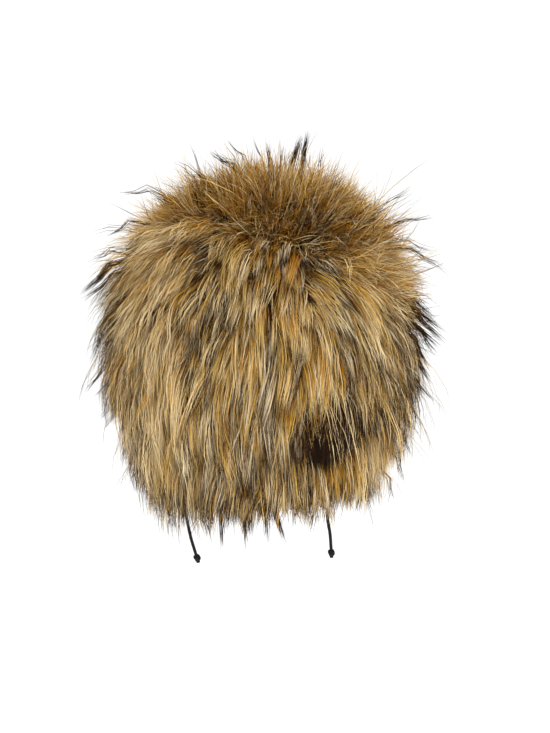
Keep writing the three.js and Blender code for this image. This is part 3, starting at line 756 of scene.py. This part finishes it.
CROWN_ENDS_PY = 450
stray_locks([row for row in STRAY_LOCKS if row[1] <= CROWN_ENDS_PY], "crown_fur", "crown_stray_locks")
stray_locks([row for row in STRAY_LOCKS if row[1] > CROWN_ENDS_PY], "flap_fur", "flap_stray_locks")


# Flap pile: the hair of the ear flaps and the neck flap, which hangs below the hem all round.
# It starts under the crown's fringe, in the dark of the seam, and is lighter towards its ends.
SEAM_GAP = 0.0004
FACE_HALF = 0.0645


def flap_level(turn, share):
    """Even steps of level, from the seam at 0 to the hem at 1."""
    top = level_of(BROW + SEAM_GAP)
    return top + (level_of(hem_drop(turn)) - top) * np.clip(share, 0.005, 0.985)


def beside_face(points):
    """True on the ear flaps and the neck flap, outside the face opening."""
    return (np.abs(points[:, 0]) > FACE_HALF) | (points[:, 1] < 0)


for layer, coat, rows, spacing, long, leans, chances, width in (
    ("underfur", UNDERFUR, 9, 0.0105, 0.047, (0.40, 1.50), underfur_chances, BROAD),
    ("guard_hair", GUARD, 8, 0.0115, 0.067, (0.30, 1.62), guard_chances, MEDIUM),
    ("tufts", TUFT, 6, 0.0150, 0.074, (0.34, 1.55), tuft_chances, NARROW),
    ("stray_hair", STRAY, 5, 0.0200, 0.078, (0.30, 1.40), stray_chances, NARROW),
):
    turn, level, root = rows_of_locks(np.linspace(0.02, 0.98, rows), spacing, flap_level, beside_face)
    normal, down = head_slope(turn, level)
    flow = hair_flow(root, normal, down)
    low = np.clip((-root[:, 2] - BROW) / (NAPE - BROW), 0, 1)
    length = long * (1 - 0.17 * low) * trim(root)
    every = np.ones(len(root))
    lay_pile("flap_" + layer, "flap_fur", root, normal, flow, length, leans[0] * every,
             leans[1] + 0.12 - 0.26 * low, every, coat, chances, width)


# Visor pile: shorter hair on the turned-up front flap. Because the flap is turned up, its hair lies upwards,
# and it fans out a little to each side.
VISOR_STAND = 0.013
ROWS_TO, COLUMNS_TO = 0.059, 0.057
# The middle and the reach of the round that each upper corner is cut to.
CORNER_X, CORNER_Z, CORNER_REACH = 0.037, 0.038, 0.0235


def visor_point(across, height, out):
    """The seam's own oval carried straight up, at a sideways place and a height above the seam."""
    turn = np.arcsin(across / (HALF_WIDTH + out))
    fall = np.clip(-SEAM_LEVEL, 0, None)
    y = (HALF_DEPTH + out - NAPE_TUCK * fall**2) * np.cos(turn)
    return np.column_stack([across, y, height - BROW])


for layer, coat, long, leans, chances, width in (
    ("underfur", UNDERFUR, 0.040, (0.35, 1.2), underfur_chances, BROAD),
    ("guard_hair", GUARD, 0.056, (0.25, 1.35), guard_chances, MEDIUM),
):
    up, along = np.linspace(0.001, ROWS_TO, 7), np.linspace(-COLUMNS_TO, COLUMNS_TO, 13)
    rows, columns = np.meshgrid(up, along, indexing="ij")
    across = columns.ravel() + rng.uniform(-0.003, 0.003, rows.size)
    height = rows.ravel() + rng.uniform(-0.003, 0.003, rows.size)
    past_x, past_z = np.clip(np.abs(across) - CORNER_X, 0, None), np.clip(height - CORNER_Z, 0, None)
    on_flap = np.hypot(past_x, past_z) < CORNER_REACH
    across, height = across[on_flap], height[on_flap]
    root = visor_point(across, height, VISOR_STAND + CLOTH)
    normal = unit(np.column_stack([root[:, 0] / HALF_WIDTH**2, root[:, 1] / HALF_DEPTH**2, 0 * across]))
    flow = unit(np.column_stack([across / 0.06 * 0.9, 0 * across, np.ones(len(across))]))
    flow = unit(flow - normal * np.sum(flow * normal, axis=1)[:, None])
    every = np.ones(len(root))
    lay_pile("visor_" + layer, "visor_fur", root, normal, flow, long * every, leans[0] * every,
             leans[1] * every, every, coat, chances, width)


# Ties: a round black braided cord sewn into each ear flap's hem, which hangs straight with an overhand knot
# tied in its end and a short frayed tail.
# The cord's thickness, the turn from the front at which it is sewn on, and its gap to the hem.
CORD, TIE_TURN, HEM_GAP = 0.0025, math.radians(92), 0.0003
# The knot's size, how far past the cord's end its middle lies, and how far its turns cross over.
KNOT_SIZE, KNOT_MIDDLE, KNOT_CROSS = 0.00056, 0.0029, 0.0015
# Half the thickness of the knot's strand and of the tail's frayed end, and where the tail starts and ends.
STRAND, FRAYED, TAIL_ENDS = 0.00125, 0.0015, (-0.0005, 0.0068)
# A route's points have columns for how far each lies aside, how far to the front, and its share of the drop.
tie_drops = {"left": 0.0834, "right": 0.079}
tie_routes = {
    "left": (
        (0, 0, 0), (0.0004, 0.001, 0.15), (0.0022, 0.004, 0.4),
        (0.0048, 0.007, 0.6), (0.0081, 0.009, 0.82), (0.0121, 0.011, 1),
    ),
    "right": (
        (0, 0, 0), (-0.004, 0.001, 0.15), (-0.012, 0.004, 0.4),
        (-0.0162, 0.007, 0.6), (-0.0139, 0.010, 0.85), (-0.0131, 0.011, 1),
    ),
}
braid, shader, nodes, links = new_material("black braided cord", 0.75)
shader.inputs["Specular IOR Level"].default_value = 0.2
place = nodes.new("ShaderNodeTexCoord")
plait = nodes.new("ShaderNodeTexWave")
plait.bands_direction = "DIAGONAL"
plait.inputs["Scale"].default_value = 260
colours = nodes.new("ShaderNodeValToRGB")
colours.color_ramp.elements[0].color = (0.002, 0.002, 0.0025, 1)
colours.color_ramp.elements[1].color = (0.016, 0.0155, 0.016, 1)
bump = nodes.new("ShaderNodeBump")
bump.inputs["Strength"].default_value = 0.8
bump.inputs["Distance"].default_value = 0.0004
links.new(place.outputs["Object"], plait.inputs["Vector"])
links.new(plait.outputs["Fac"], colours.inputs["Fac"])
links.new(plait.outputs["Fac"], bump.inputs["Height"])
links.new(colours.outputs["Color"], shader.inputs["Base Color"])
links.new(bump.outputs["Normal"], shader.inputs["Normal"])


def smooth_route(points, each):
    """A centripetal Catmull-Rom curve through the points, with each stretch cut in equal parts."""
    points = np.vstack([2 * points[0] - points[1], points, 2 * points[-1] - points[-2]])
    gaps = np.sqrt(np.linalg.norm(np.diff(points, axis=0), axis=1))
    made = []
    for i in range(1, len(points) - 2):
        a, b, c, d = points[i - 1 : i + 3]
        g0, g1, g2 = gaps[i - 1 : i + 2]
        leave = ((b - a) / g0 - (c - a) / (g0 + g1) + (c - b) / g1) * g1
        reach = ((c - b) / g1 - (d - b) / (g1 + g2) + (d - c) / g2) * g1
        t = np.linspace(0, 1, each, endpoint=False)[:, None]
        square, cube = 3 * (c - b) - 2 * leave - reach, 2 * (b - c) + leave + reach
        made.append(b + leave * t + square * t**2 + cube * t**3)
    return np.vstack([*made, points[-2:-1]])


def tube(name, path, radius, sides, material, closed=False):
    """A ring of points round each point of a path, in the plane across it and turned from a fixed way, so
    that the rings aren't twisted. A closed path joins its last ring to its first."""
    count = len(path)
    ahead = unit(np.roll(path, -1, 0) - np.roll(path, 1, 0) if closed else np.gradient(path, axis=0))
    side = unit(np.cross(ahead, np.array([0.31, 0.85, 0.43])))
    up = np.cross(side, ahead)
    angle = np.linspace(0, 2 * math.pi, sides, endpoint=False)
    radius = np.broadcast_to(radius, count)[:, None, None]
    ring = np.cos(angle)[None, :, None] * side[:, None] + np.sin(angle)[None, :, None] * up[:, None]
    vertices = (path[:, None] + radius * ring).reshape(-1, 3)
    this = np.arange(count if closed else count - 1)[:, None] * sides
    after = (this + sides) % (count * sides)
    i = np.arange(sides)
    following = (i + 1) % sides
    faces = np.stack([this + i, this + following, after + following, after + i], axis=-1).reshape(-1, 4)
    made = add_mesh(name, vertices, faces, material)
    made.data.flip_normals()
    return made


for side_name, way in (("left", -1), ("right", 1)):
    turn = np.array([way * TIE_TURN])
    start = head_point(turn, level_of(hem_drop(turn)), CLOTH / 2)[0] - np.array([0, 0, HEM_GAP])
    steps = np.array(tie_routes[side_name])
    points = start + steps * np.array([1, 1, -tie_drops[side_name]])
    route = smooth_route(points, 6)
    curve = bpy.data.curves.new(side_name + "_cord", "CURVE")
    curve.dimensions = "3D"
    curve.bevel_depth = CORD / 2
    curve.bevel_resolution = 3
    curve.use_fill_caps = True
    spline = curve.splines.new("POLY")
    spline.points.add(len(route) - 1)
    spline.points.foreach_set("co", np.column_stack([route, np.ones(len(route))]).ravel())
    curve.materials.append(braid)
    cord = bpy.data.objects.new(side_name + "_cord", curve)
    bpy.context.scene.collection.objects.link(cord)
    along = unit(route[-1] - route[-3])
    across = unit(np.cross(along, [0, 1, 0]))
    front = np.cross(across, along)
    # The knot is a closed trefoil round the cord's end, and the tail goes on past it and widens.
    t = np.linspace(0, 2 * math.pi, 48, endpoint=False)
    turns = np.column_stack([np.sin(t) + 2 * np.sin(2 * t), np.cos(t) - 2 * np.cos(2 * t)]) * KNOT_SIZE
    rise = KNOT_MIDDLE + KNOT_CROSS * np.sin(3 * t)
    knot = route[-1] + turns[:, :1] * across + turns[:, 1:] * front + rise[:, None] * along
    tied = tube(side_name + "_knot", knot, STRAND, 10, braid, closed=True)
    tail = route[-1] + np.linspace(*TAIL_ENDS, 9)[:, None] * along
    frayed = tube(side_name + "_tail", tail, np.linspace(STRAND, FRAYED, 9), 10, braid)
    length = np.linalg.norm(np.diff(route, axis=0), axis=1).sum()
    for piece in (cord, tied, frayed):
        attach(piece, "root")
    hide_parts(side_name + "_tie")
    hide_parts(side_name + "_tie_knot")
    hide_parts(side_name + "_tie_knot")
